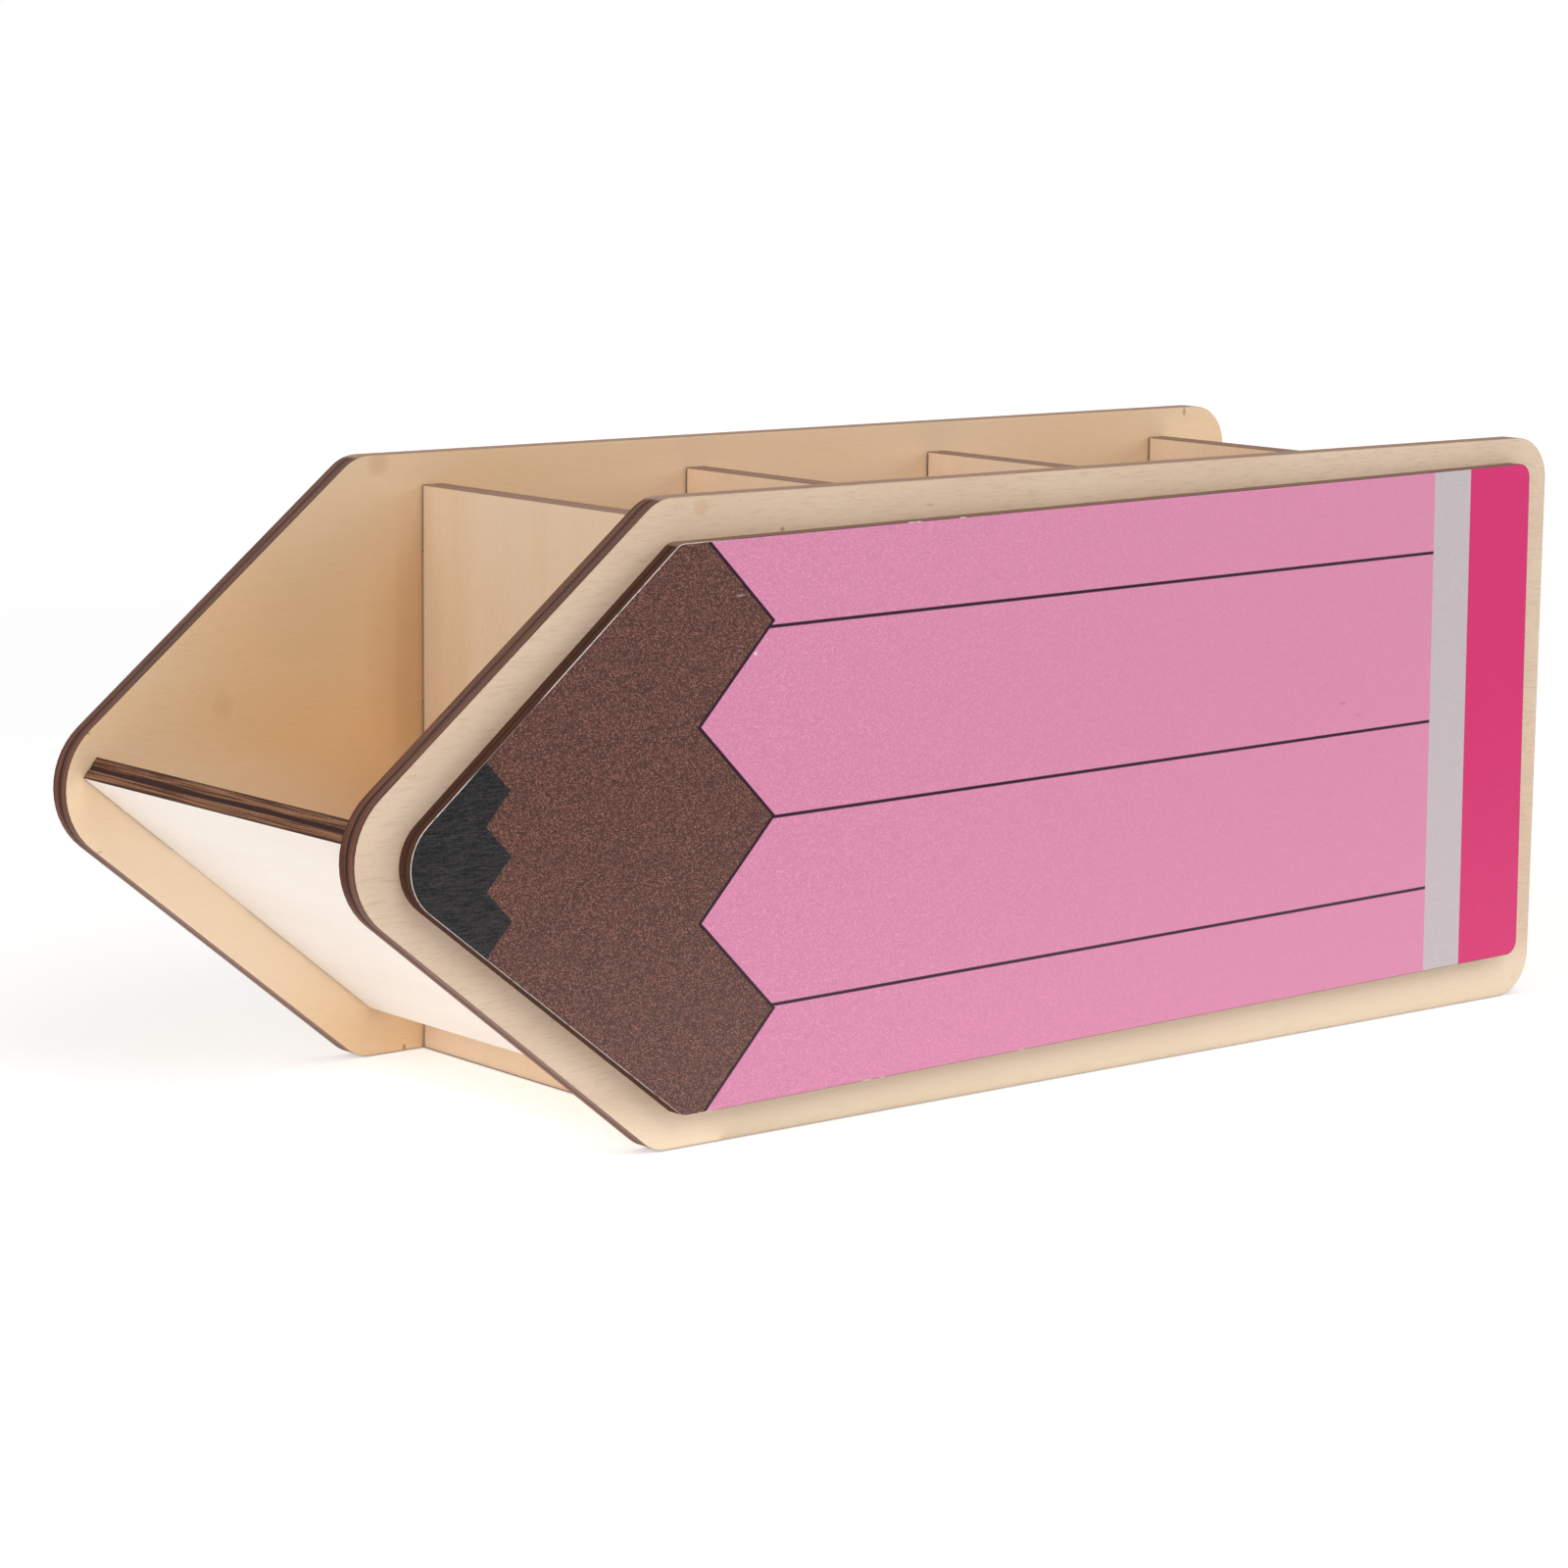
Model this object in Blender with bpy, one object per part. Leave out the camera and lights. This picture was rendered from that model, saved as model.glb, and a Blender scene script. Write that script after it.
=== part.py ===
"""Pencil-shaped desk pen holder: flat laser-cut plywood boards joined by tabs and slots.

Two pencil-shaped side panels stand on the table. Cross boards run between them and pass
their tabs through slots in both panels. A thinner printed face board is glued on in front.
X runs from the pencil's tip (-X) to its eraser end (+X), the printed front faces -Y, Z is up.
"""
from math import atan2, ceil, cos, pi, radians, sin, tan

import bpy
from mathutils import Vector

# Driving dimensions in metres
HEIGHT = 0.100             # side panels, table to top edge
BARREL_LENGTH = 0.198      # shoulder to eraser end
NOSE_LENGTH = 0.062        # sharp point of the nose to shoulder
BAY_DEPTH = 0.0765         # clear room between the side panels
PLY = 0.004                # carcass plywood
FACE_PLY = 0.003           # printed face board
CORNER_RADIUS = 0.0075     # panel corners
TIP_RADIUS = 0.0123        # panel tip
GLUE_GAP = 0.00025         # clearance between two boards that touch

FACE_MARGIN = 0.00625      # bare rim of the front panel round the face board
FACE_END_MARGIN = 0.0073   # the same rim at the eraser end
FACE_CORNER_RADIUS = 0.0025
FACE_TIP_RADIUS = 0.0082
FACE_LIFT = 0.00055        # the board is glued on slightly high
FACE_TILT = radians(0.75)  # and slightly out of square

BAY_COUNT = 3
FIRST_WALL_INSET = 0.0131  # shoulder to the first divider
END_WALL_INSET = 0.0156    # end wall to the eraser end
WALL_DROP = 0.0052         # panel top down to the tops of the cross walls
WALL_TAB = 0.025           # each wall has two tabs in each panel
WALL_TAB_INSET = 0.011     # end of the wall to the nearest tab

FLOOR_RAISE = 0.0082       # table to the underside of the floors
FLOOR_TAB = 0.020
TIP_FLOOR_TAB = 0.005

RAMP_MARGIN = 0.0078       # lower nose edge to the foot of the ramp
RAMP_LIP = 0.0021          # how far the ramp's top passes the middle height
RAMP_TURN = radians(0.25)  # the ramp is this much steeper than the nose edge
RAMP_TAB = 0.018
RAMP_TAB_START = 0.0208    # upper end of the ramp to its tab

ARC_STEP = radians(7.5)    # widest turn between two points of a rounded corner

# Places worked out from the driving dimensions
NOSE_PITCH = atan2(HEIGHT / 2, NOSE_LENGTH)
TIP_CUT = TIP_RADIUS / sin(NOSE_PITCH) - TIP_RADIUS
OVERALL_LENGTH = BARREL_LENGTH + NOSE_LENGTH - TIP_CUT
OVERALL_DEPTH = BAY_DEPTH + 2 * PLY + GLUE_GAP + FACE_PLY

X_END = OVERALL_LENGTH / 2
X_SHOULDER = X_END - BARREL_LENGTH
X_POINT = X_SHOULDER - NOSE_LENGTH

Y_FACE = -OVERALL_DEPTH / 2 + FACE_PLY / 2
Y_FRONT = -OVERALL_DEPTH / 2 + FACE_PLY + GLUE_GAP + PLY / 2
Y_BACK = OVERALL_DEPTH / 2 - PLY / 2
Y_MIDDLE = (Y_FRONT + Y_BACK) / 2

X_FIRST_WALL = X_SHOULDER + FIRST_WALL_INSET
X_LAST_WALL = X_END - END_WALL_INSET - PLY
WALL_PITCH = (X_LAST_WALL - X_FIRST_WALL) / BAY_COUNT
WALL_HEIGHT = HEIGHT - WALL_DROP
FLOOR_MIDDLE = FLOOR_RAISE + PLY / 2

# Colours as linear RGB
BARE_WOOD = (0.68, 0.52, 0.36)
PALE_WOOD = (0.76, 0.61, 0.44)
PRINTED_PINK = (0.70, 0.26, 0.43)


def clear_scene():
    """Empty the file, so that the model starts from nothing."""
    for thing in list(bpy.data.objects):
        bpy.data.objects.remove(thing, do_unlink=True)


def rounded(corners):
    """Points of a closed outline whose corners, given as (x, y, radius) clockwise, are arcs."""
    points = []
    for i, (x, y, radius) in enumerate(corners):
        here = Vector((x, y))
        before = Vector(corners[i - 1][:2])
        after = Vector(corners[(i + 1) % len(corners)][:2])
        back = (before - here).normalized()
        ahead = (after - here).normalized()
        half = back.angle(ahead) / 2
        centre = here + (back + ahead).normalized() * radius / sin(half)
        start = here + back * radius / tan(half) - centre
        turn = pi - 2 * half
        steps = ceil(turn / ARC_STEP)
        for step in range(steps + 1):
            angle = -turn * step / steps
            points.append((
                centre.x + start.x * cos(angle) - start.y * sin(angle),
                centre.y + start.x * sin(angle) + start.y * cos(angle),
            ))
    return points


def pencil(margin, end_margin, corner_radius, tip_radius):
    """Outline of the pencil in panel X and Z, set in by a margin, and by another at the eraser end."""
    point = X_POINT + margin / sin(NOSE_PITCH)
    top = HEIGHT - margin
    shoulder = point + (top - HEIGHT / 2) / tan(NOSE_PITCH)
    end = X_END - end_margin
    return rounded([
        (point, HEIGHT / 2, tip_radius),
        (shoulder, top, corner_radius),
        (end, top, corner_radius),
        (end, margin, corner_radius),
        (shoulder, margin, corner_radius),
    ])


class CrossBoard:
    """A board between the panels: where its middle plane starts, its pitch, run and tabs.

    The pitch is the turn about Y that takes +X to the direction of the run, and each tab
    is the pair of distances along the run at which it begins and ends.
    """

    def __init__(self, name, start, pitch, run, tabs, colour):
        self.name = name
        self.start = Vector(start)
        self.pitch = pitch
        self.run = run
        self.tabs = tabs
        self.colour = colour

    def along(self, distance, aside=0.0):
        """The panel point (x, z) at a distance along the run and aside from the middle plane."""
        way = Vector((cos(self.pitch), -sin(self.pitch)))
        normal = Vector((sin(self.pitch), cos(self.pitch)))
        return self.start + way * distance + normal * aside

    def outline(self):
        """The flat board: run along X, depth along Y, with tabs through both panels."""
        shoulder = BAY_DEPTH / 2 - GLUE_GAP
        tab_end = BAY_DEPTH / 2 + PLY
        side = [(0.0, shoulder)]
        for begin, end in self.tabs:
            side += [(begin, shoulder), (begin, tab_end), (end, tab_end), (end, shoulder)]
        side.append((self.run, shoulder))
        return side + [(x, -y) for x, y in reversed(side)]

    def slots(self):
        """The panel openings, in panel X and Z, that take this board's tabs."""
        half = PLY / 2 + GLUE_GAP
        for begin, end in self.tabs:
            low, high = begin - GLUE_GAP, end + GLUE_GAP
            yield [self.along(low, half), self.along(high, half),
                   self.along(high, -half), self.along(low, -half)]


def centred_tab(run, length):
    """One tab in the middle of a run."""
    return [((run - length) / 2, (run + length) / 2)]


def wall(name, index):
    """An upright board across the pencil: a divider or the end wall."""
    x = X_FIRST_WALL + index * WALL_PITCH + PLY / 2
    lower = (WALL_TAB_INSET, WALL_TAB_INSET + WALL_TAB)
    upper = (WALL_HEIGHT - lower[1], WALL_HEIGHT - lower[0])
    return CrossBoard(name, (x, 0.0), -pi / 2, WALL_HEIGHT, [lower, upper], BARE_WOOD)


def floor(name, left, right, tab):
    """A level board between two neighbours, given by the faces that it reaches to."""
    run = right - left - 2 * GLUE_GAP
    start = (left + GLUE_GAP, FLOOR_MIDDLE)
    return CrossBoard(name, start, 0.0, run, centred_tab(run, tab), BARE_WOOD)


def ramp():
    """The sloping bottom of the tip compartment, just inside the lower edge of the nose."""
    pitch = NOSE_PITCH + RAMP_TURN
    top = HEIGHT / 2 + RAMP_LIP
    run = (top - FLOOR_RAISE) / sin(pitch)
    drop = (HEIGHT / 2 - FLOOR_RAISE) * cos(NOSE_PITCH)
    x_foot = X_POINT + (RAMP_MARGIN + drop) / sin(NOSE_PITCH)
    start = Vector((x_foot - run * cos(pitch) + PLY / 2 * sin(pitch), top + PLY / 2 * cos(pitch)))
    tabs = [(RAMP_TAB_START, RAMP_TAB_START + RAMP_TAB)]
    return CrossBoard("tip_ramp", start, pitch, run, tabs, PALE_WOOD)


def all_cross_boards():
    """Every board between the two panels, from the tip to the eraser end."""
    walls = [wall(f"divider_{i + 1}", i) for i in range(BAY_COUNT)]
    walls.append(wall("end_wall", BAY_COUNT))
    faces = [(board.start.x - PLY / 2, board.start.x + PLY / 2) for board in walls]
    slope = ramp()
    foot = slope.along(slope.run, PLY / 2).x
    floors = [floor("tip_floor", foot, faces[0][0], TIP_FLOOR_TAB)]
    for i in range(BAY_COUNT):
        floors.append(floor(f"bay_floor_{i + 1}", faces[i][1], faces[i + 1][0], FLOOR_TAB))
    return [slope, *walls, *floors]


def wood(name, colour, roughness):
    """A plain finish for one board."""
    material = bpy.data.materials.new(name)
    material.use_nodes = True
    shader = material.node_tree.nodes["Principled BSDF"]
    shader.inputs["Base Color"].default_value = (*colour, 1.0)
    shader.inputs["Roughness"].default_value = roughness
    shader.inputs["Metallic"].default_value = 0.0
    return material


def cut_board(name, outlines, thickness, colour, roughness=0.65):
    """A flat board: the first outline is its edge, and the others are openings through it."""
    flat = bpy.data.curves.new(name, "CURVE")
    flat.dimensions = "2D"
    flat.fill_mode = "BOTH"
    flat.extrude = thickness / 2
    for outline in outlines:
        spline = flat.splines.new("POLY")
        spline.points.add(len(outline) - 1)
        for point, (x, y) in zip(spline.points, outline):
            point.co = (x, y, 0.0, 1.0)
        spline.use_cyclic_u = True
    flat.materials.append(wood(f"{name}_finish", colour, roughness))
    return bpy.data.objects.new(name, flat)


def build():
    """Cut every board and put it in its place."""
    collection = bpy.data.collections.new("pen_holder")
    bpy.context.scene.collection.children.link(collection)
    origin = bpy.data.objects.new("pen_holder_origin", None)
    collection.objects.link(origin)

    def place(board, location, turn):
        board.location = location
        board.rotation_euler = turn
        board.parent = origin
        collection.objects.link(board)

    crosses = all_cross_boards()
    slots = [slot for board in crosses for slot in board.slots()]
    edge = pencil(0.0, 0.0, CORNER_RADIUS, TIP_RADIUS)
    for name, y in (("front_panel", Y_FRONT), ("back_panel", Y_BACK)):
        panel = cut_board(name, [edge, *slots], PLY, BARE_WOOD)
        place(panel, (0.0, y, 0.0), (pi / 2, 0.0, 0.0))

    print_edge = pencil(FACE_MARGIN, FACE_END_MARGIN, FACE_CORNER_RADIUS, FACE_TIP_RADIUS)
    centred = [(x, z - HEIGHT / 2) for x, z in print_edge]
    face = cut_board("face_board", [centred], FACE_PLY, PRINTED_PINK, roughness=0.45)
    place(face, (0.0, Y_FACE, HEIGHT / 2 + FACE_LIFT), (pi / 2, -FACE_TILT, 0.0))

    for board in crosses:
        cut = cut_board(board.name, [board.outline()], PLY, board.colour)
        place(cut, (board.start.x, Y_MIDDLE, board.start.y), (0.0, board.pitch, 0.0))


clear_scene()
build()
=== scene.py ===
# %% [markdown]
# # A pencil-shaped pen holder, finished board by board
# The holder is twelve flat plywood boards, cut by a laser and pushed together with tabs and slots.
# Their sizes and places are settled already, so this lesson loads them and only gives them looks:
# broken arrises, glue lines in the cut edges, veneer grain, burnt edges and a printed front.

# %% Load the boards
from math import atan2, cos, hypot, radians, sin, tan

import bmesh
import bpy
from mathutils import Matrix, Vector


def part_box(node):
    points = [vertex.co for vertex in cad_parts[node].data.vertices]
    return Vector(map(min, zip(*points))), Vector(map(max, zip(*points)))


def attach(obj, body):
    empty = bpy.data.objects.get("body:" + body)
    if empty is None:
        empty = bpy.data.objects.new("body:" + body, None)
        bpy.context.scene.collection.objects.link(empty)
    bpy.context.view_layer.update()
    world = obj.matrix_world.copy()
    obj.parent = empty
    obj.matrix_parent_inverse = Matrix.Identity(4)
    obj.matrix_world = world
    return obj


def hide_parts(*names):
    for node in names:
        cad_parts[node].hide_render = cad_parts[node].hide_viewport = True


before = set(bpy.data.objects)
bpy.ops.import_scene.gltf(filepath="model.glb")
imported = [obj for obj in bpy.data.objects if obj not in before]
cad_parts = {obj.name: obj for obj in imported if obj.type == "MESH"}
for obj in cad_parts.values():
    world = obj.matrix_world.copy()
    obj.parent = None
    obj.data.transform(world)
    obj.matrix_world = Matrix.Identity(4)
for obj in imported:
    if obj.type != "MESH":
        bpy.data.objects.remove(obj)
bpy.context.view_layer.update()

print("boards:", ", ".join(sorted(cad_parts)))

# %% [markdown]
# ## Measures
# Nearly every measure is read from the boards, so the looks follow them if a size changes.
# The sharp point of the nose is cut off by its rounding, so it is worked out from the nose's length.
# Places on the print are counted from that point along X, and from the table along Z.

# %% Measure the panels
NOSE_LENGTH = 0.062            # sharp point to shoulder
TIP_RADIUS = 0.0123
FACE_TILT = radians(0.75)      # the face board is glued on this much out of square

panel_low, panel_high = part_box("front_panel")
HEIGHT = panel_high.z - panel_low.z
PLY = panel_high.y - panel_low.y
BAY_FRONT, BAY_BACK = panel_high.y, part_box("back_panel")[0].y
X_END = panel_high.x
NOSE_PITCH = atan2(HEIGHT / 2, NOSE_LENGTH)
X_POINT = panel_low.x - TIP_RADIUS * (1 / sin(NOSE_PITCH) - 1)
print(f"panel {HEIGHT * 1000:.1f} mm high, {PLY * 1000:.1f} mm thick, point at {X_POINT * 1000:.1f} mm")

# %% [markdown]
# ## Camera
# The photograph looks at the printed front from the tip's side, a little above the table.
# A long lens keeps the receding edges nearly parallel, as they are in the photograph.
# The lens isn't shifted, so that any other view stays centred too.

# %% Place the camera
CAMERA_PLACE = (-0.47948, -0.56661, 0.16737)
CAMERA_TURN = (radians(80.594), radians(-0.608), radians(-39.328))
LENS = 103.02                  # mm, on Blender's usual 36 mm sensor

bpy.ops.object.select_all(action="DESELECT")
bpy.ops.object.camera_add(location=CAMERA_PLACE, rotation=CAMERA_TURN)
camera = bpy.context.object
camera.data.lens = LENS
bpy.context.scene.camera = camera
bpy.context.scene.view_settings.view_transform = "Standard"
print("camera at", tuple(round(value, 3) for value in camera.location))

# %% [markdown]
# ## Shader maths
# A finish is a formula over a place on the board. Wiring it by hand takes hundreds of nodes, so one
# small class wraps a socket: sums written in Python then add the Math nodes by themselves.
# Every other kind of node comes from its one method, `node`.

# %% The wire class
class Wire:
    """An output socket of a material's node tree, or the bare tree when it has no socket."""

    def __init__(self, tree, socket=None):
        self.tree = tree
        self.socket = socket

    def node(self, kind, settings=None, inputs=None, out=0):
        """Add a node, set it up, feed its sockets with values or wires, and give one output."""
        made = self.tree.nodes.new(kind)
        for name, value in (settings or {}).items():
            setattr(made, name, value)
        for name, value in (inputs or {}).items():
            if isinstance(value, Wire):
                self.tree.links.new(value.socket, made.inputs[name])
            else:
                made.inputs[name].default_value = value
        return Wire(self.tree, made.outputs[out])

    def math(self, operation, *values):
        return self.node("ShaderNodeMath", {"operation": operation}, dict(enumerate(values)))

    def __add__(self, other):
        return self.math("ADD", self, other)

    __radd__ = __add__

    def __sub__(self, other):
        return self.math("SUBTRACT", self, other)

    def __rsub__(self, other):
        return self.math("SUBTRACT", other, self)

    def __mul__(self, other):
        return self.math("MULTIPLY", self, other)

    __rmul__ = __mul__

    def __truediv__(self, other):
        return self.math("DIVIDE", self, other)

    def __abs__(self):
        return self.math("ABSOLUTE", self)

    def part(self, letter):
        """The X, Y or Z of a vector."""
        return self.node("ShaderNodeSeparateXYZ", None, {"Vector": self}, out=letter)

    def least(self, other):
        return self.math("MINIMUM", self, other)

    def most(self, other):
        return self.math("MAXIMUM", self, other)

    def zigzag(self, half):
        """Rise from 0 to half and fall back to 0, again and again."""
        return self.math("PINGPONG", self, half)

    def step(self, start, end):
        """Go smoothly from 0 at start to 1 at end. A start beyond the end falls instead."""
        settings = {"interpolation_type": "SMOOTHSTEP"}
        if start < end:
            limits = {"From Min": start, "From Max": end, "To Min": 0.0, "To Max": 1.0}
        else:
            limits = {"From Min": end, "From Max": start, "To Min": 1.0, "To Max": 0.0}
        return self.node("ShaderNodeMapRange", settings, {"Value": self, **limits})

    def blend(self, first, second):
        """Mix two colours by this wire: the first at 0, the second at 1."""
        return self.node("ShaderNodeMix", {"data_type": "RGBA"}, {0: self, 6: first, 7: second}, out=2)


# %% [markdown]
# Colours are written as a screen shows them, from 0 to 255, and turned into the light values that
# the shader works with.

# %% Colour and noise helpers
def paint(red, green, blue):
    """A colour as shown on screen, turned into linear light."""
    def linear(value):
        value /= 255
        return value / 12.92 if value <= 0.04045 else ((value + 0.055) / 1.055) ** 2.4
    return (linear(red), linear(green), linear(blue), 1.0)


def new_finish(name):
    """An empty material: its bare tree and the place on the board as a wire."""
    material = bpy.data.materials.new(name)
    material.use_nodes = True
    tree = Wire(material.node_tree)
    place = tree.node("ShaderNodeTexCoord", out="Object")
    return material, tree, place


def noise(place, grain, detail=2.0, roughness=0.5, twist=0.0):
    """Cloudy noise from 0 to 1. The grain is the size of its clouds along X, Y and Z, in metres."""
    size = tuple(1 / length for length in grain)
    scaled = place.node("ShaderNodeVectorMath", {"operation": "MULTIPLY"}, {0: place, 1: size})
    values = {"Scale": 1.0, "Detail": detail, "Roughness": roughness, "Distortion": twist}
    return place.node("ShaderNodeTexNoise", None, {"Vector": scaled, **values}, out="Fac")


def even(size):
    """A noise grain whose clouds are as long along every axis."""
    return (size, size, size)


def shifted(place, seed):
    """The same place moved far off, so that each board shows another piece of the noise."""
    return place.node("ShaderNodeVectorMath", {"operation": "ADD"}, {0: place, 1: (seed, seed, seed)})


def finish_with(material, colour, roughness, height, relief, gloss):
    """Feed a material's shader. The relief is the real height of the bumps, in metres."""
    tree = Wire(material.node_tree)
    shader = material.node_tree.nodes["Principled BSDF"]
    shader.inputs["Specular IOR Level"].default_value = gloss
    bump = tree.node("ShaderNodeBump", None, {"Strength": 1.0, "Distance": relief, "Height": height})
    for name, wire in (("Base Color", colour), ("Roughness", roughness), ("Normal", bump)):
        tree.tree.links.new(wire.socket, shader.inputs[name])


# %% [markdown]
# ## The boards
# A packed board is a heap of loose triangles, good for measuring and poor for finishing.
# It could be drawn again from a cube, but a merged copy has every tab and slot in its place already.
# Merging its corners and dissolving its flat triangles gives faces that can be selected and worked on.

# %% Copy a board
MERGE = 1e-6
FLAT = radians(0.5)


def through_axis(mesh):
    """The direction through a board: the normal of its widest face, pointing to +X, +Y or up."""
    widest = max(mesh.polygons, key=lambda face: face.area).normal.copy()
    largest = max(widest, key=abs)
    return widest if largest > 0 else -widest


def copy_board(node):
    """A merged copy of a packed board, with whole flat faces, left open in edit mode."""
    board = bpy.data.objects.new(f"{node}_ply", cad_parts[node].data.copy())
    bpy.context.scene.collection.objects.link(board)
    board.data.materials.clear()
    bpy.ops.object.select_all(action="DESELECT")
    board.select_set(True)
    bpy.context.view_layer.objects.active = board
    bpy.ops.object.mode_set(mode="EDIT")
    bpy.ops.mesh.select_mode(type="FACE")
    bpy.ops.mesh.select_all(action="SELECT")
    bpy.ops.mesh.remove_doubles(threshold=MERGE)
    bpy.ops.mesh.dissolve_limited(angle_limit=FLAT)
    return board


# %% [markdown]
# By hand, faces and edges are clicked in edit mode. Here a test picks them by their place or normal,
# so every run makes the same choice. A panel's slots are told from its outer edge by how far inside
# the pencil's outline they lie.

# %% Pick faces and edges
SQUARE = 0.9                   # a face this far along the board's axis is one of its two wide faces
OUTLINE_REACH = 0.003          # what lies further inside the outline than this belongs to a slot


def pick(board, mode, wanted):
    """Select the faces or edges of a board in edit mode that a test asks for."""
    bpy.ops.mesh.select_all(action="DESELECT")
    bpy.ops.mesh.select_mode(type=mode)
    shape = bmesh.from_edit_mesh(board.data)
    for item in (shape.faces if mode == "FACE" else shape.edges):
        item.select_set(wanted(item))
    bmesh.update_edit_mesh(board.data)


def is_wide(face, axis):
    """Whether a face is one of a board's two wide ones, and not part of its cut edge."""
    return abs(face.normal.dot(axis)) > SQUARE


def in_outline(point):
    """How far a point lies inside the pencil's outline, seen from the front."""
    arc_middle = X_POINT + TIP_RADIUS / sin(NOSE_PITCH)
    before = arc_middle - point.x
    aside = abs(point.z - HEIGHT / 2)
    if aside * tan(NOSE_PITCH) < before:
        nose = TIP_RADIUS - hypot(before, aside)
    else:
        nose = (point.x - X_POINT) * sin(NOSE_PITCH) - aside * cos(NOSE_PITCH)
    return min(point.z, HEIGHT - point.z, X_END - point.x, nose)


def in_slot(point):
    """Whether a point on a panel's edges belongs to a slot, and not to the outer edge."""
    return in_outline(point) > OUTLINE_REACH


# %% [markdown]
# A small clearance for glue is left round every tab. Light would show through it as bright hairlines,
# so the walls of the slots and the ends of the floors are swelled, as if glue filled nearly all of it.

# %% Fill the glue gaps
GLUE = 0.00022                 # how much of the clearance between two boards glue has filled
BODY_REACH = 0.020             # nearer to the middle than any tab


def fill_gaps(board, axis, has_slots):
    """Swell the walls of a panel's slots and the ends of a floor, where light would show through."""
    def beside_gap(face):
        middle = face.calc_center_median()
        if has_slots:
            return not is_wide(face, axis) and in_slot(middle)
        return axis.z > SQUARE and abs(face.normal.x) > SQUARE and abs(middle.y) < BODY_REACH
    pick(board, "FACE", beside_gap)
    bpy.ops.transform.shrink_fatten(value=GLUE, use_even_offset=True)


# %% [markdown]
# Three veneers make each sheet. The laser burns the middle one, whose end grain faces the cut, a
# little deeper, so a shallow groove runs round every edge. Two bisect cuts mark the glue lines and an
# inset presses the strip between them in.

# %% Groove the cut edges
CORE = (0.40, 0.60)            # where the middle veneer lies, as shares of the thickness
GROOVE_DEPTH = 0.00006
GROOVE_WALL = 0.00004


def depth_limits(vertices, axis):
    """How far along its axis a board begins and ends."""
    depths = [vertex.co.dot(axis) for vertex in vertices]
    return min(depths), max(depths)


def groove_edges(board, axis):
    """Press the middle veneer in round every cut edge."""
    start, end = depth_limits(bmesh.from_edit_mesh(board.data).verts, axis)
    lines = [start + (end - start) * share for share in CORE]
    for line in lines:
        bpy.ops.mesh.select_all(action="SELECT")
        bpy.ops.mesh.bisect(plane_co=axis * line, plane_no=axis)
    pick(board, "FACE", lambda face: lines[0] < face.calc_center_median().dot(axis) < lines[1])
    bpy.ops.mesh.inset(thickness=GROOVE_WALL, depth=-GROOVE_DEPTH, use_even_offset=True)


# %% [markdown]
# No real arris is perfectly sharp: it is broken a little and catches the light. A bevel does this to
# the edges between the wide faces and the cut ones. Slots stay sharp, because their tabs fill them.

# %% Break the arrises
ARRIS = 0.0001
FACE_ARRIS = 0.00009           # on the face board, where it is rubbed down to the white primer
ARRIS_SEGMENTS = 2


def break_arrises(board, axis, width, has_slots):
    """Bevel the edges between the wide faces and the cut edges, and leave a panel's slots sharp."""
    def is_arris(edge):
        wide = [is_wide(face, axis) for face in edge.link_faces]
        middle = (edge.verts[0].co + edge.verts[1].co) / 2
        return any(wide) and not all(wide) and not (has_slots and in_slot(middle))
    pick(board, "EDGE", is_arris)
    bpy.ops.mesh.bevel(offset=width, segments=ARRIS_SEGMENTS, affect="EDGES")


# %% [markdown]
# Smoke browns the veneer beside each cut. A narrow inset round the wide faces gives that rim points
# of its own, and an attribute named rim, 1 at the cut and 0 inside, lets the veneer's finish find it.

# %% Mark the smoked rim
RIM = 0.0003
FLUSH = 1 - 1e-4               # a face this far along the axis isn't part of an arris


def mark_rim(board, axis, has_slots):
    """Inset the wide faces and write the rim attribute. Leaves edit mode."""
    pick(board, "FACE", lambda face: abs(face.normal.dot(axis)) > FLUSH)
    bpy.ops.mesh.inset(thickness=RIM, use_boundary=True, use_even_offset=True)
    shape = bmesh.from_edit_mesh(board.data)
    inner = {vertex.index for vertex in shape.verts if vertex.select}
    bpy.ops.object.mode_set(mode="OBJECT")
    rim = board.data.attributes.new("rim", "FLOAT", "POINT")
    for vertex in board.data.vertices:
        clean = vertex.index in inner or (has_slots and in_slot(vertex.co))
        rim.data[vertex.index].value = 0.0 if clean else 1.0


# %% [markdown]
# Every board goes through these steps in turn. The face board is thinner and its edge is evenly
# charred, so it gets no groove. Smoothing by angle rounds the corners and keeps the flats flat.

# %% Dress every board
SMOOTH = radians(30)

boards = {}
axes = {}
for node in sorted(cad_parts):
    axis = through_axis(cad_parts[node].data)
    has_slots = node.endswith("_panel")
    board = copy_board(node)
    fill_gaps(board, axis, has_slots)
    if node == "face_board":
        break_arrises(board, axis, FACE_ARRIS, has_slots)
    else:
        groove_edges(board, axis)
        break_arrises(board, axis, ARRIS, has_slots)
    mark_rim(board, axis, has_slots)
    bpy.ops.object.shade_smooth_by_angle(angle=SMOOTH)
    boards[node] = board
    axes[node] = axis
    print(f"{board.name}: {len(board.data.polygons)} faces, axis {tuple(round(v, 2) for v in axis)}")
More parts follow.
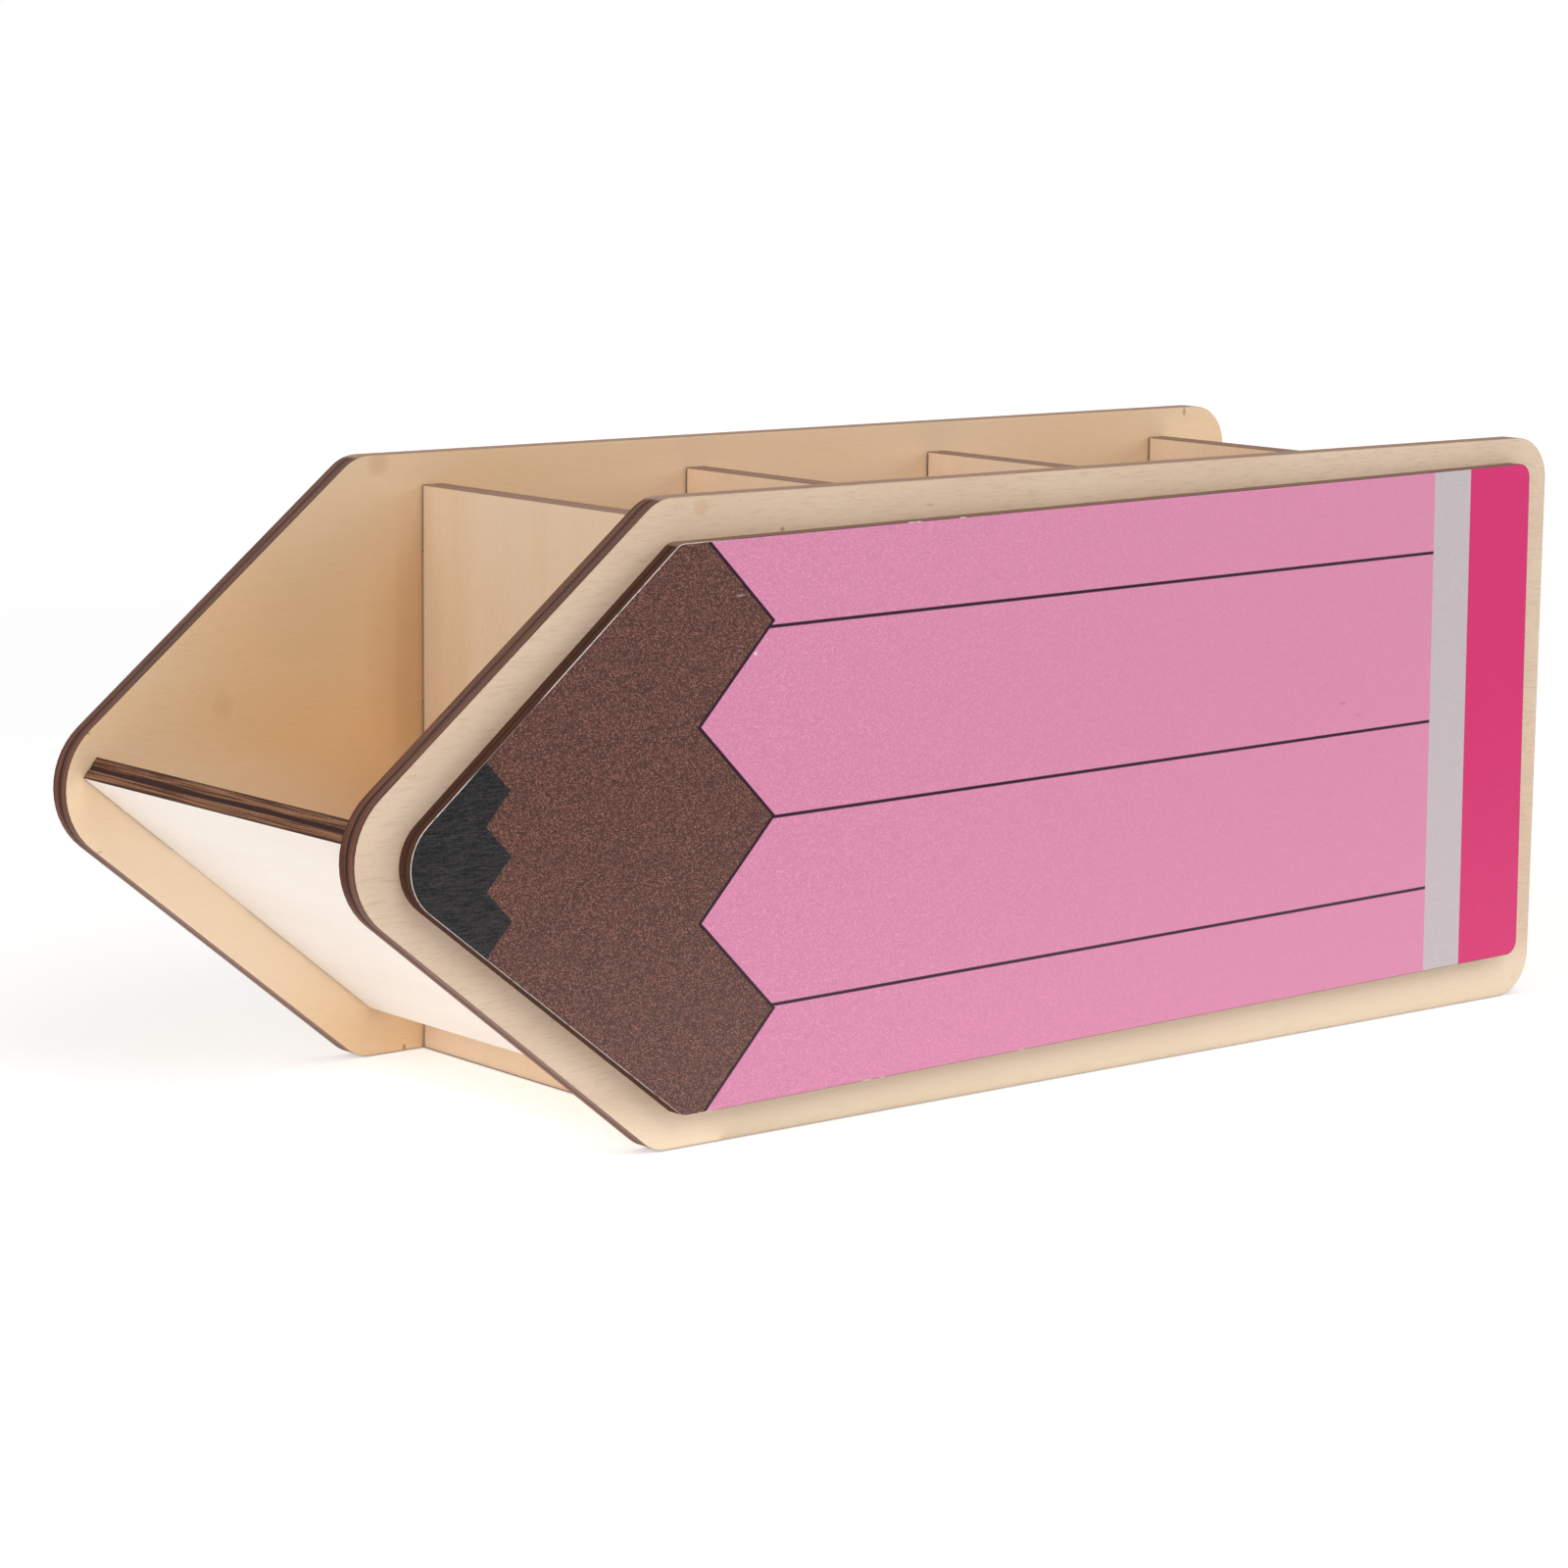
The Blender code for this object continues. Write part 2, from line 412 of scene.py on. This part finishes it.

# %% [markdown]
# ## Veneer
# The wide faces are pale, close-grained veneer. Three things show: fine fibres a few millimetres
# long, broad soft bands of growth, and a slow drift of tone. All are noise, and fibres and bands are
# stretched along the grain.
# Stains, and burn marks where the beam started a cut, are soft ovals whose places are written down.
# A few of them are wide and faint, and are painted light and shade rather than stains: painted shade,
# some of it warm, on the back panel round divider 1, and painted light below the ramp and along the
# front panel's foot.

# %% Veneer finish
FIBRE, FIBRE_LENGTH = 0.00026, 0.0028
BAND, BAND_LENGTH = 0.006, 0.070
DRIFT = 0.045
FIBRE_RELIEF = 0.00003
MARK_FADE = 0.0005             # half the depth, at a board's middle, over which its marks end

PALE = paint(235, 211, 185)
PALE_WARM = paint(229, 202, 174)
# paler than the front's tone: painted light that lifts the shade in the bays
HONEY = paint(242, 213, 180)
HONEY_WARM = paint(240, 208, 167)
BEIGE = paint(230, 204, 176)
BEIGE_WARM = paint(225, 196, 162)
# painted light, for the back panel below the ramp
PAINTED_UNDER_RAMP_LIGHT = paint(245, 223, 196)
# paler still: painted light that lifts the shade in the bays
OAT = paint(248, 221, 192)
OAT_WARM = paint(244, 213, 181)
PEACH = paint(247, 217, 186)
# near white and greyish: painted light for the bright light under the ramp
CREAM = paint(233, 224, 216)
CREAM_WARM = paint(230, 219, 209)
FIBRE_DARK = paint(186, 156, 120)
SMOKED = paint(104, 62, 38)
# burns, and once a painted shade beside divider 1
SCORCH = paint(120, 78, 46)
# painted light, for the front panel's foot
PAINTED_FOOT_LIGHT = paint(249, 230, 201)
# painted shade, warm, for the back panel round divider 1
PAINTED_WARM_SHADE = paint(240, 180, 108)
# stains, and once a painted shade beside divider 1
TEA = paint(204, 158, 110)
# painted shade, grey, for the upper part of the tip bay
PAINTED_GREY_SHADE = paint(200, 190, 163)


def stretched(size, length, along):
    """A noise grain that is longer along one of the axes X, Y and Z, numbered 0 to 2."""
    return tuple(length if axis == along else size for axis in range(3))


def stained_and_shaded(colour, x, z, marks):
    """Lay soft oval marks over a colour: stains, burns, painted light and painted shade. Their X, Z,
    width, height, strength and colour.
    """
    for at_x, at_z, width, height, strength, mark_colour in marks:
        aside = (x - at_x) * (2 / width)
        above = (z - at_z) * (2 / height)
        colour = ((aside * aside + above * above).step(1.0, 0.0) * strength).blend(colour, mark_colour)
    return colour


def veneer(name, along, seed, light, warm, fibre, smoke, marks, middle, is_cross):
    """Wood seen from its face, with its fibres along one axis. Fibre and smoke are strengths.

    Marks lie on the face in front of the board's middle, and not on its other face. A cross board
    is smoked where its tabs enter the panels too.
    """
    material, tree, place = new_finish(name)
    moved = shifted(place, seed)
    fibres = noise(moved, stretched(FIBRE, FIBRE_LENGTH, along), detail=3.0, roughness=0.6)
    bands = noise(moved, stretched(BAND, BAND_LENGTH, along))
    drift = noise(moved, even(DRIFT), detail=1.0)
    colour = (bands * 0.4 + drift * 0.6).step(0.35, 0.65).blend(light, warm)
    colour = (fibres.step(0.46, 0.80) * fibre).blend(colour, FIBRE_DARK)
    rim = tree.node("ShaderNodeAttribute", {"attribute_name": "rim"}, out="Fac").step(0.3, 1.0)
    if is_cross:
        y = place.part("Y")
        rim = rim.most((y - BAY_FRONT).least(BAY_BACK - y).step(2 * RIM, RIM))
    colour = (rim * smoke).blend(colour, SMOKED)
    if marks:
        marked = stained_and_shaded(colour, place.part("X") - X_POINT, place.part("Z"), marks)
        colour = (place.part("Y") - middle).step(MARK_FADE, -MARK_FADE).blend(colour, marked)
    finish_with(material, colour, 0.55 + 0.15 * fibres, fibres, FIBRE_RELIEF, gloss=0.3)
    return material


# %% [markdown]
# ## Cut edges
# A laser leaves plywood's edge dark brown. The two outer veneers are streaked along the cut, the
# middle one is darker, and both arrises are charred. The level top edges get a paler painted sheen,
# and the slopes of the nose a little painted light.

# %% Cut edge finish
STREAK, STREAK_LENGTH = 0.00022, 0.016
CRUMB = 0.0005
WANDER, WANDER_LENGTH = 0.06, 0.006    # how far the glue lines wander, as a share of the thickness
EDGE_RELIEF = 0.00005
TOP_BAND = (-0.0005, -0.0002)  # heights from a board's top between which the painted sheen sets in
NOSE_FADE = 0.012              # how far past the shoulder the painted light of the nose ends
SLOPE_FADE = 0.020             # how far above or below the tip it is full
PLY_BROWN = paint(78, 46, 34)
PLY_DULL = paint(124, 80, 62)
PLY_BRIGHT = paint(146, 105, 79)
# painted sheen for the level top edges, and painted light for the slopes of the nose
PLY_TOP_SHEEN = paint(190, 155, 133)
PLY_SLOPE_LIGHT = paint(176, 146, 134)
CORE_BROWN = paint(52, 32, 27)
CHAR = paint(58, 38, 31)


def cut_edge(name, axis, start, thickness, seed, lean, top, light, char, top_sheen, upper, lower):
    """Burnt plywood edge with light streaks. The depth runs from 0 to 1 along the board's axis.

    Char darkens the whole edge. Top sheen paints a sheen, paler at the height top, which rises with X
    by the board's lean. The last two strengths paint light on the upper and the lower slope of the nose.
    """
    material, tree, place = new_finish(name)
    along = tree.node("ShaderNodeVectorMath", {"operation": "DOT_PRODUCT"},
                      {0: place, 1: tuple(axis)}, out="Value")
    depth = (along - start) / thickness
    moved = shifted(place, seed)
    pull = tree.node("ShaderNodeVectorMath", {"operation": "SCALE"},
                     {0: tuple(axis), "Scale": along * (STREAK_LENGTH / STREAK - 1)})
    pulled = tree.node("ShaderNodeVectorMath", {"operation": "ADD"}, {0: moved, 1: pull})
    streaks = noise(pulled, even(STREAK_LENGTH), detail=1.0)
    crumbs = noise(moved, even(CRUMB))
    colour = (streaks * 0.85 + crumbs * 0.15).step(0.40, 0.62).blend(PLY_BROWN, light)
    wander = (noise(moved, even(WANDER_LENGTH), detail=1.0) - 0.5) * WANDER
    from_core = abs(depth + wander - sum(CORE) / 2)
    colour = from_core.step(0.13, 0.07).blend(colour, CORE_BROWN)
    from_arris = 0.5 - abs(depth - 0.5)
    colour = (from_arris.step(0.09, 0.02).most(char)).blend(colour, CHAR)

    x, z = place.part("X"), place.part("Z")
    shoulder = X_POINT + NOSE_LENGTH
    on_nose = x.step(shoulder + NOSE_FADE, shoulder)
    above = z - HEIGHT / 2
    slopes = on_nose * (upper * above.step(0.0, SLOPE_FADE) + lower * above.step(0.0, -SLOPE_FADE))
    # painted light on the slopes of the nose
    colour = slopes.blend(colour, PLY_SLOPE_LIGHT)
    # painted sheen on the level top
    at_top = (z - x * lean - top).step(*TOP_BAND)
    colour = (at_top * top_sheen).blend(colour, PLY_TOP_SHEEN)
    finish_with(material, colour, 0.6 + 0.2 * streaks, streaks, EDGE_RELIEF, gloss=0.12)
    return material


# %% [markdown]
# ## The print
# The front of the face board carries a flat drawing of a pencil: a dark lead, a brown cone, a pink
# barrel with thin lines, a grey ferrule and a magenta eraser. Cutting the mesh along each zigzag would
# fix the drawing in the geometry; a formula over the board's place keeps its edges clean at any zoom.
# The board is glued on slightly turned, so its place is turned back first. Heights on the print are
# counted from the middle of the board.

# %% Print measures
LEAD_VALLEY, LEAD_PEAK, LEAD_HALF_PITCH, LEAD_MIDDLE = 0.0281, 0.0327, 0.00485, 0.0
CONE_VALLEY, CONE_PEAK, CONE_HALF_PITCH, CONE_MIDDLE = 0.0676, 0.0820, 0.01504, 0.0004
LINE_HALF_PITCH, LINE_MIDDLE = 0.01468, 0.0002
FERRULE_START, FERRULE_END = 0.2285, 0.2375
LINE_WIDTH = 0.00053
INK_EDGE = 0.00010             # how soft an ink edge is
LEAD_WAVE, LEAD_WAVE_LENGTH = 0.0006, 0.0012    # how far the lead's edge wanders
SPECK = (0.00029, 0.00029, 0.00021)
INK_STREAK = (0.0024, 0.0024, 0.00026)
FLECK_MEAN = 0.225             # taken off the flecks, so that they don't change the mean tone
INK_RELIEF = 0.00004
PRINT_SHEEN_TOP, PRINT_SHEEN_FOOT = 0.010, -0.045    # heights between which a painted sheen sets in, toward the lower edge
PRINT_SHEEN = 0.026

LEAD_INK = paint(39, 37, 39)
CONE_INK = paint(103, 69, 61)
BARREL_INK = paint(225, 145, 179)
FERRULE_INK = paint(202, 192, 196)
ERASER_INK = paint(217, 51, 116)
LINE_INK = paint(38, 8, 32)
PRIMER = paint(240, 233, 224)
ARRIS_BROWN = paint(84, 58, 52)

PRINT_MARKS = (                # X, Z, width, height, strength and colour
    (0.0756, 0.0348, 0.0026, 0.0004, 0.28, PRIMER), (0.0785, 0.0257, 0.0008, 0.0008, 0.90, PRIMER),
    (0.2069, 0.0055, 0.0022, 0.0007, 0.35, ERASER_INK),
    (0.2106, 0.0031, 0.0020, 0.0007, 0.25, ERASER_INK),
)

face_low, face_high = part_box("face_board")
FACE_MIDDLE = (0.0, 0.0, (face_low.z + face_high.z) / 2)
print(f"the print's middle is {FACE_MIDDLE[2] * 1000:.2f} mm above the table")

# %% [markdown]
# Each edge of the drawing is a distance that changes sign there, and a narrow step turns it into ink.
# The ink sinks into the veneer: light flecks show in the cone and long streaks in the lead, and the
# barrel's pale ink hides most of both.

# %% Printed front
def on_print(place):
    """Where a place lies on the drawing: X from the nose's point and Z from the board's middle."""
    square = place.node("ShaderNodeVectorRotate", {"rotation_type": "Y_AXIS"},
                        {"Vector": place, "Center": FACE_MIDDLE, "Angle": FACE_TILT})
    return square.part("X") - X_POINT, square.part("Z") - FACE_MIDDLE[2]


def toothed(z, valley, peak, half_pitch, middle):
    """The X of a zigzag edge at each height."""
    return peak - (z - middle).zigzag(half_pitch) * ((peak - valley) / half_pitch)


def printed_front(name):
    """The pencil drawing, in ink that sinks a little into the veneer."""
    material, tree, place = new_finish(name)
    x, z = on_print(place)
    wave = (noise(place, even(LEAD_WAVE_LENGTH)) - 0.5) * LEAD_WAVE
    past_lead = x + wave - toothed(z, LEAD_VALLEY, LEAD_PEAK, LEAD_HALF_PITCH, LEAD_MIDDLE)
    cone_lean = atan2(CONE_PEAK - CONE_VALLEY, CONE_HALF_PITCH)
    past_cone = (x - toothed(z, CONE_VALLEY, CONE_PEAK, CONE_HALF_PITCH, CONE_MIDDLE)) * cos(cone_lean)
    is_lead = past_lead.step(INK_EDGE, -INK_EDGE)
    is_barrel = past_cone.step(-INK_EDGE, INK_EDGE)
    colour = is_barrel.blend(CONE_INK, BARREL_INK)
    colour = is_lead.blend(colour, LEAD_INK)

    half_line = LINE_WIDTH / 2
    rule = (z - LINE_MIDDLE).zigzag(LINE_HALF_PITCH).step(half_line + INK_EDGE, half_line - INK_EDGE)
    border = abs(past_cone).step(half_line + INK_EDGE, half_line - INK_EDGE)
    colour = (rule * is_barrel).most(border).blend(colour, LINE_INK)
    colour = (x - FERRULE_START).step(-INK_EDGE, INK_EDGE).blend(colour, FERRULE_INK)
    colour = (x - FERRULE_END).step(-INK_EDGE, INK_EDGE).blend(colour, ERASER_INK)

    specks = noise(place, SPECK, detail=1.0, roughness=0.6)
    streaks = noise(place, INK_STREAK, detail=2.0, roughness=0.6, twist=0.4)
    flecks = specks.step(0.44, 0.74)
    depth = 0.12 + 0.27 * x.step(0.20, 0.07) + 2.0 * (1.0 - is_barrel)
    grain = (flecks - FLECK_MEAN) * (0.8 - 0.2 * is_lead) + (streaks - 0.5) * (0.3 + 1.6 * is_lead)
    colour = tree.node("ShaderNodeHueSaturation", None, {"Color": colour, "Value": 1.0 + depth * grain})
    # painted sheen: the ink is blended a little toward the primer's white toward the lower edge
    colour = (z.step(PRINT_SHEEN_TOP, PRINT_SHEEN_FOOT) * PRINT_SHEEN).blend(colour, PRIMER)
    colour = stained_and_shaded(colour, x, z, PRINT_MARKS)
    finish_with(material, colour, 0.42 + 0.2 * specks, specks + streaks * is_lead, INK_RELIEF, gloss=0.15)
    return material


# %% [markdown]
# The ink lies on a white primer. Along the board's arris it is rubbed through: nearly everywhere round
# the nose, apart from a short stretch above the tip, and in a few chips whose places are written down.

# %% Rubbed arris
LONG_WEAR, SHORT_WEAR = 0.012, 0.0009
WEAR_END, WEAR_FULL = 0.078, 0.062     # X from the nose's point at which the nose's wear ends and is full
UNWORN_MIDDLE = 0.032          # X of the stretch that has kept its ink
UNWORN_END, UNWORN_FULL = 0.008, 0.005
PRIMER_RELIEF = 0.00003
TOP, BOTTOM = 1.0, -1.0
CHIPS = (                      # X from the nose's point, half length and side
    (0.1103, 0.0016, TOP), (0.1203, 0.0007, TOP), (0.0675, 0.0010, TOP), (0.0670, 0.0035, BOTTOM),
    (0.1009, 0.0010, BOTTOM), (0.1041, 0.0006, BOTTOM), (0.1337, 0.0006, BOTTOM),
)


def rubbed_arris(name):
    """Primer that shows through the ink along the face board's arris."""
    material, tree, place = new_finish(name)
    x, z = on_print(place)
    long_wear = noise(place, even(LONG_WEAR), detail=1.0)
    short_wear = noise(place, even(SHORT_WEAR))
    nose = x.step(WEAR_END, WEAR_FULL) * (0.65 + 0.35 * z.step(-0.012, 0.004))
    unworn = z.step(0.0, 0.002) * abs(x - UNWORN_MIDDLE).step(UNWORN_END, UNWORN_FULL)
    worn = nose * (1.0 - 0.85 * unworn) * (long_wear * 0.6 + short_wear * 0.4).step(0.36, 0.54)
    for middle, half, side in CHIPS:
        chip = abs(x - middle).step(half, half * 0.7) * short_wear.step(0.25, 0.40)
        worn = worn.most(chip * (z * side).step(0.0, 0.01))
    colour = worn.blend(ARRIS_BROWN, PRIMER)
    finish_with(material, colour, 0.5 + 0.2 * short_wear, short_wear, PRIMER_RELIEF, gloss=0.3)
    return material


# %% [markdown]
# ## The look of each board
# The boards differ in tone, fibres and smoke, and only those at the front and the back show marks
# worth drawing. Part of the tone is painted light: the back panel and the boards that aren't named are
# paler, to lift the shade in the bays, and the ramp is paler and greyer for the bright light under it.
# Boards that aren't named share one look.

# %% Looks
MARKS = {    # X from the nose's point, Z, width, height, strength and colour
    "front_panel": (
        (0.0700, 0.0982, 0.0036, 0.0036, 0.35, TEA), (0.1157, 0.0960, 0.0022, 0.0005, 0.25, SCORCH),
        (0.0858, 0.0940, 0.0012, 0.0010, 0.50, SCORCH), (0.2563, 0.0030, 0.0022, 0.0016, 0.40, TEA),
        # painted light: a pale band along the foot that lifts the shade under the face board
        (0.1650, 0.0040, 0.4000, 0.0150, 0.65, PAINTED_FOOT_LIGHT),
    ),
    "back_panel": (
        # the first mark on this line is painted shade, warm, round divider 1
        (0.0760, 0.0570, 0.1150, 0.1050, 0.37, PAINTED_WARM_SHADE), (0.0664, 0.0986, 0.0056, 0.0046, 0.40, TEA),
        (0.0712, 0.0006, 0.0010, 0.0014, 0.60, SCORCH), (0.0132, 0.0399, 0.0016, 0.0005, 0.70, SCORCH),
        (0.0115, 0.0590, 0.0010, 0.0006, 0.40, SCORCH), (0.2496, 0.0992, 0.0010, 0.0022, 0.60, SCORCH),
        (0.0363, 0.0613, 0.0050, 0.0064, 0.22, TEA), (0.1700, 0.1000, 0.2000, 0.0500, 0.40, PEACH),
        # painted light below the ramp, then painted shade beside divider 1
        (0.0320, 0.0270, 0.0900, 0.0600, 0.80, PAINTED_UNDER_RAMP_LIGHT), (0.0735, 0.0660, 0.0110, 0.0680, 0.17, SCORCH),
        # painted shade in the upper part of the tip bay, then painted shade beside divider 1
        (0.0590, 0.0850, 0.0460, 0.0620, 0.24, PAINTED_GREY_SHADE), (0.0720, 0.0690, 0.0200, 0.0500, 0.24, TEA),
    ),
}
LOOKS = {    # light and warm tone, strength of the fibres, smoke beside the cuts
    "front_panel": (PALE, PALE_WARM, 0.40, 0.15),
    "back_panel": (HONEY, HONEY_WARM, 0.18, 0.15),
    "tip_ramp": (CREAM, CREAM_WARM, 0.14, 0.20),
    "divider_1": (BEIGE, BEIGE_WARM, 0.18, 0.70),
}
OTHER_LOOK = (OAT, OAT_WARM, 0.18, 0.70)
EDGE_LOOKS = {    # colour of the streaks, char, painted sheen on the level top, painted light on the upper and the lower slope
    "front_panel": (PLY_DULL, 0.0, 0.78, 0.10, 0.24),
    "back_panel": (PLY_DULL, 0.0, 0.90, 0.13, 0.36),
    "face_board": (PLY_DULL, 0.7, 0.40, 0.0, 0.0),
    "tip_ramp": (PLY_BRIGHT, 0.0, 0.0, 0.0, 0.0),
}
OTHER_EDGE_LOOK = (PLY_DULL, 0.0, 0.55, 0.0, 0.0)
print("boards with a look of their own:", ", ".join(LOOKS))

# %% [markdown]
# ## Putting the finishes on
# A board has two finishes: veneer on its wide faces and a burnt edge all round. In edit mode the faces
# are picked by the way they face, and the edge's slot is assigned to them. The face board has two more,
# for its print and its rubbed arris.

# %% Assign finishes
ALONG_X, ALONG_Y, ALONG_Z = 0, 1, 2
EDGE, PRINT, RUBBED = 1, 2, 3          # material slots, after the veneer's
FRONTAL, ASKEW = -0.99, -0.2           # Y of a normal that still faces the front, and of one on the arris
VENEER_SEED, EDGE_SEED = 0.37, 0.53    # how far the noise moves from one board to the next, in metres


def grain_of(node):
    """The axis that a board's fibres run along."""
    if node.startswith(("divider", "end")):
        return ALONG_Z
    return ALONG_Y if "floor" in node or "ramp" in node else ALONG_X


def assign(board, index, wanted):
    """Give a material slot to the faces that a test asks for."""
    bpy.ops.object.select_all(action="DESELECT")
    board.select_set(True)
    bpy.context.view_layer.objects.active = board
    bpy.ops.object.mode_set(mode="EDIT")
    pick(board, "FACE", wanted)
    board.active_material_index = index
    bpy.ops.object.material_slot_assign()
    bpy.ops.object.mode_set(mode="OBJECT")


for number, (node, board) in enumerate(boards.items()):
    axis = axes[node]
    start, end = depth_limits(board.data.vertices, axis)
    look = LOOKS.get(node, OTHER_LOOK)
    marks = MARKS.get(node, ())
    is_cross = not node.endswith(("_panel", "_board"))
    board.data.materials.append(veneer(
        f"{node}_veneer", grain_of(node), number * VENEER_SEED, *look, marks, (start + end) / 2,
        is_cross))
    edge_look = EDGE_LOOKS.get(node, OTHER_EDGE_LOOK)
    lean = tan(FACE_TILT) if node == "face_board" else 0.0
    top = max(vertex.co.z - vertex.co.x * lean for vertex in board.data.vertices)
    board.data.materials.append(cut_edge(
        f"{node}_cut", axis, start, end - start, number * EDGE_SEED, lean, top, *edge_look))
    assign(board, EDGE, lambda face: not is_wide(face, axis))
    if node == "face_board":
        board.data.materials.append(printed_front("pencil_print"))
        board.data.materials.append(rubbed_arris("rubbed_primer"))
        assign(board, PRINT, lambda face: face.normal.y < FRONTAL)
        assign(board, RUBBED, lambda face: FRONTAL <= face.normal.y < ASKEW)
    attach(board, "root")
    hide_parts(node)
print("finished", len(boards), "boards")

# %% [markdown]
# ## Table and light
# The photograph was taken on a white table in soft light that also comes up from the table.
# A floor of pale diffuse white keeps the object's shadow. What is missing to pure white is added only
# for rays that show the floor to the camera, so the extra white lights nothing.

# %% Floor
FLOOR_SIZE = 6.0
FLOOR_DROP = 0.0001            # keeps the floor just clear of the boards that stand on it
FLOOR_WHITE = 0.86
FILL_NEAR, FILL_FAR = 0.45, 0.72       # what is added at the object, and where the lamps don't reach
NEAR_REACH, FAR_REACH = 0.3, 1.3


def seen(tree):
    """1 for the rays that show the stage itself: from the camera, or by a mirror or glass."""
    names = ("Is Camera Ray", "Is Glossy Ray", "Is Transmission Ray")
    camera_ray, glossy, through = (tree.node("ShaderNodeLightPath", out=name) for name in names)
    return (camera_ray + glossy + through).least(1.0)


bpy.ops.object.select_all(action="DESELECT")
bpy.ops.mesh.primitive_plane_add(size=FLOOR_SIZE, location=(0.0, 0.0, -FLOOR_DROP))
floor = bpy.context.object
floor.name = "table_top"
floor_finish, tree, place = new_finish("table_white")
shader = floor_finish.node_tree.nodes["Principled BSDF"]
shader.inputs["Base Color"].default_value = (FLOOR_WHITE, FLOOR_WHITE, FLOOR_WHITE, 1.0)
shader.inputs["Roughness"].default_value = 0.9
shader.inputs["Specular IOR Level"].default_value = 0.0
shader.inputs["Emission Color"].default_value = (1.0, 1.0, 1.0, 1.0)
distance = tree.node("ShaderNodeVectorMath", {"operation": "LENGTH"}, {0: place}, out="Value")
fill = FILL_NEAR + (FILL_FAR - FILL_NEAR) * distance.step(NEAR_REACH, FAR_REACH)
fill = seen(tree) * fill
tree.tree.links.new(fill.socket, shader.inputs["Emission Strength"])
floor.data.materials.append(floor_finish)
print(f"floor {FLOOR_SIZE:.0f} m across")

# %% [markdown]
# The world is an even white tent. Four soft lamps shape the boards a little, and two faint cards on
# the table stand for the light that a bright table throws back up. The camera sees none of them.

# %% World and lamps
WORLD_LIGHT = 0.38


def lamp(name, place, target, width, height, power):
    """A soft lamp that looks at a point."""
    bpy.ops.object.light_add(type="AREA", location=place)
    made = bpy.context.object
    made.name = name
    made.data.shape = "RECTANGLE"
    made.data.size = width
    made.data.size_y = height
    made.data.energy = power
    made.rotation_euler = (Vector(target) - Vector(place)).to_track_quat("-Z", "Y").to_euler()
    made.visible_camera = False


world = bpy.data.worlds.new("white_tent")
bpy.context.scene.world = world
world.use_nodes = True
sky = Wire(world.node_tree)
background = world.node_tree.nodes["Background"]
background.inputs["Color"].default_value = (1.0, 1.0, 1.0, 1.0)
strength = WORLD_LIGHT + seen(sky) * (1.0 - WORLD_LIGHT)
sky.tree.links.new(strength.socket, background.inputs["Strength"])

lamp("high_front_lamp", (-0.10, -0.90, 1.00), (0.0, 0.0, 0.05), 0.8, 0.8, 4.9)
lamp("left_lamp", (-0.95, -0.20, 0.40), (-0.05, 0.0, 0.05), 0.6, 0.6, 1.9)
lamp("far_left_lamp", (-1.15, 0.05, 0.55), (-0.05, 0.0, 0.07), 0.7, 0.7, 2.8)
lamp("right_lamp", (0.95, -0.60, 0.40), (0.05, 0.0, 0.05), 0.6, 0.6, 3.0)
lamp("front_table_card", (-0.025, -0.0812, 0.0002), (-0.025, -0.0812, 1.0), 0.65, 0.0804, 0.055)
lamp("left_table_card", (-0.2295, 0.05275, 0.0002), (-0.2295, 0.05275, 1.0), 0.341, 0.1945, 0.102)
